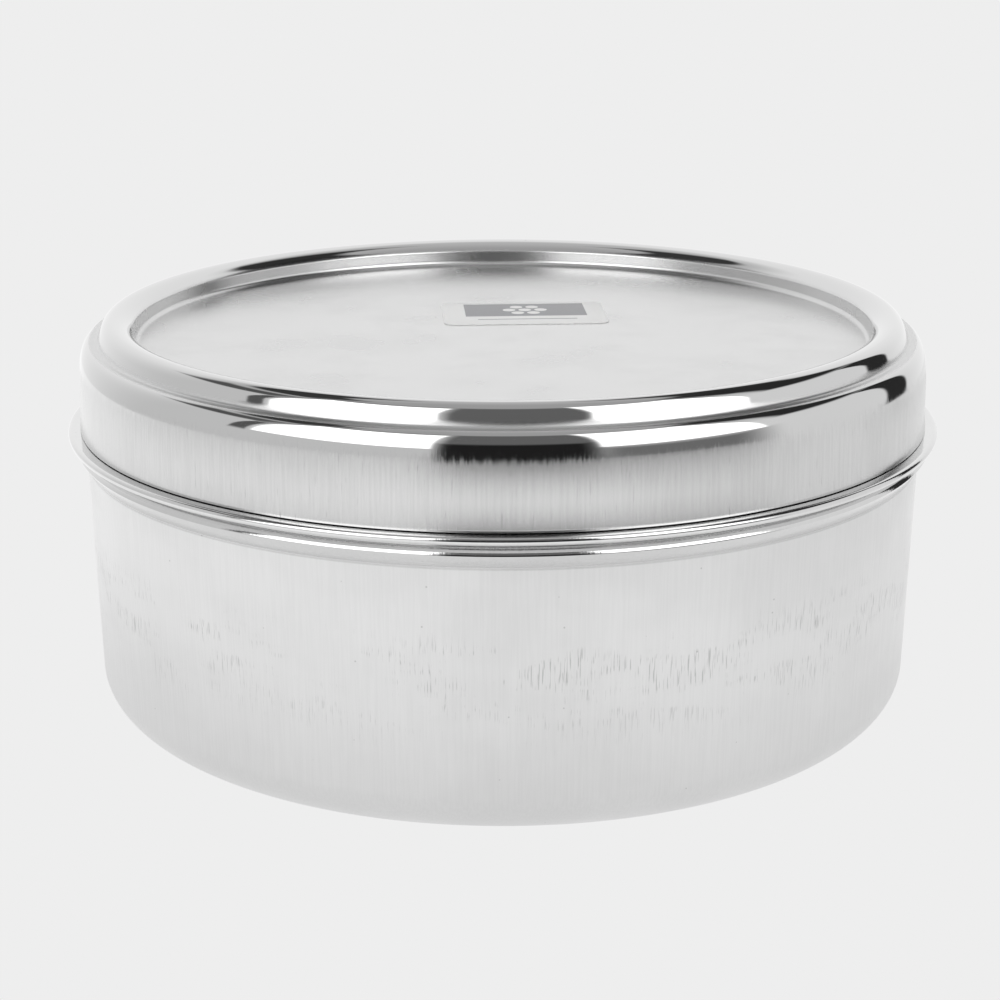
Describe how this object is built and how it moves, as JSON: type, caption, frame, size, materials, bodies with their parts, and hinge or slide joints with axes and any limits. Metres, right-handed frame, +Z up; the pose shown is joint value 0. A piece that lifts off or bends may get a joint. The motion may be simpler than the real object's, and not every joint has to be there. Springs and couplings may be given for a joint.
{
  "type": "spice box",
  "caption": "Round stainless steel spice box with a folded lip, a press-on lid with a raised rim, an inner plate with a folding ring, a cluster of cups and small spoons.",
  "frame": {"origin": "middle of the flat base, on the surface the box stands on", "axes": "+Z up along the axis of the box; -Y is the front; the label lies towards +Y and +X of the middle"},
  "size_m": [0.22, 0.22, 0.1008],
  "materials": {
    "drawn_steel": "satin, with fine upright draw lines",
    "polished_steel": "mirror polished on the ridge and shoulder, satin on the disc, groove and skirt",
    "cup_steel": "bright satin, turned",
    "label_paper": "coated paper sticker with a printed ornament, no lettering"
  },
  "bodies": {
    "box": {"box": "drawn_steel"},
    "lid": {"lid": "polished_steel", "lid_label": "label_paper"},
    "inner_plate": {"inner_plate": "polished_steel", "ring_saddle": "polished_steel"},
    "lifting_ring": {"lifting_ring": "polished_steel"},
    "cup_centre": {"cup_centre": "cup_steel"},
    "cup_1": {"cup_1": "cup_steel"},
    "cup_2": {"cup_2": "cup_steel"},
    "cup_3": {"cup_3": "cup_steel"},
    "cup_4": {"cup_4": "cup_steel"},
    "cup_5": {"cup_5": "cup_steel"},
    "cup_6": {"cup_6": "cup_steel"},
    "spoon_front": {"spoon_front": "polished_steel"},
    "spoon_back": {"spoon_back": "polished_steel"}
  },
  "joints": [
    {"name": "lid_lift", "type": "slide", "parent": "box", "child": "lid", "axis": [0, 0, 1], "range_m": [0, 0.24]},
    {"name": "inner_plate_lift", "type": "slide", "parent": "box", "child": "inner_plate", "axis": [0, 0, 1], "range_m": [0, 0.164]},
    {"name": "ring_fold", "type": "hinge", "parent": "inner_plate", "child": "lifting_ring", "pos_m": [0, 0, 0.04985], "axis": [-1, 0, 0], "range_deg": [0, 180]},
    {"name": "cup_centre_lift", "type": "slide", "parent": "box", "child": "cup_centre", "axis": [0, 0, 1], "range_m": [0, 0.101]},
    {"name": "cup_1_lift", "type": "slide", "parent": "box", "child": "cup_1", "axis": [0, 0, 1], "range_m": [0, 0.101]},
    {"name": "cup_2_lift", "type": "slide", "parent": "box", "child": "cup_2", "axis": [0, 0, 1], "range_m": [0, 0.101]},
    {"name": "cup_3_lift", "type": "slide", "parent": "box", "child": "cup_3", "axis": [0, 0, 1], "range_m": [0, 0.101]},
    {"name": "cup_4_lift", "type": "slide", "parent": "box", "child": "cup_4", "axis": [0, 0, 1], "range_m": [0, 0.101]},
    {"name": "cup_5_lift", "type": "slide", "parent": "box", "child": "cup_5", "axis": [0, 0, 1], "range_m": [0, 0.101]},
    {"name": "cup_6_lift", "type": "slide", "parent": "box", "child": "cup_6", "axis": [0, 0, 1], "range_m": [0, 0.101]},
    {"name": "spoon_front_lift", "type": "slide", "parent": "box", "child": "spoon_front", "axis": [0, 0, 1], "range_m": [0, 0.193]},
    {"name": "spoon_back_lift", "type": "slide", "parent": "box", "child": "spoon_back", "axis": [0, 0, 1], "range_m": [0, 0.193]}
  ],
  "couplings": [
    {"joint": "inner_plate_lift", "follows": "lid_lift", "ratio": 0.68},
    {"joint": "cup_centre_lift", "follows": "lid_lift", "ratio": 0.42},
    {"joint": "cup_1_lift", "follows": "lid_lift", "ratio": 0.42},
    {"joint": "cup_2_lift", "follows": "lid_lift", "ratio": 0.42},
    {"joint": "cup_3_lift", "follows": "lid_lift", "ratio": 0.42},
    {"joint": "cup_4_lift", "follows": "lid_lift", "ratio": 0.42},
    {"joint": "cup_5_lift", "follows": "lid_lift", "ratio": 0.42},
    {"joint": "cup_6_lift", "follows": "lid_lift", "ratio": 0.42},
    {"joint": "spoon_front_lift", "follows": "lid_lift", "ratio": 0.8},
    {"joint": "spoon_back_lift", "follows": "lid_lift", "ratio": 0.8}
  ]
}
